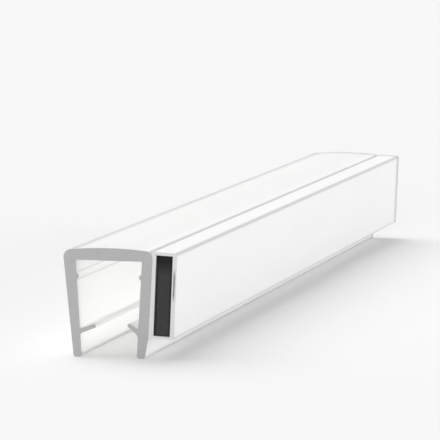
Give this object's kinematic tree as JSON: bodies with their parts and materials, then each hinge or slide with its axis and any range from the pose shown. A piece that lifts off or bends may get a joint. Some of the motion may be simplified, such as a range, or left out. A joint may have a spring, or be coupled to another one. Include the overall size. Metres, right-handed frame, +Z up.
{
  "type": "magnetic shower door seal",
  "caption": "Straight length of magnetic shower door seal: a U channel with grip ribs and sealing lips pushes over the glass edge, and a sleeve along one leg holds a magnet strip.",
  "frame": {"origin": "Middle of the glass slot's mouth, level with the two feet and half way along the seal.", "axes": "+X out through the magnet sleeve, +Y along the seal, +Z up from the feet to the closed web."},
  "size_m": [0.015, 0.14, 0.014],
  "materials": {
    "channel_plastic": "satin",
    "sleeve_plastic": "satin",
    "magnet_rubber": "matte"
  },
  "bodies": {
    "root": {"glass_channel": "channel_plastic", "magnet_sleeve": "sleeve_plastic", "magnet_strip": "magnet_rubber"}
  },
  "joints": []
}
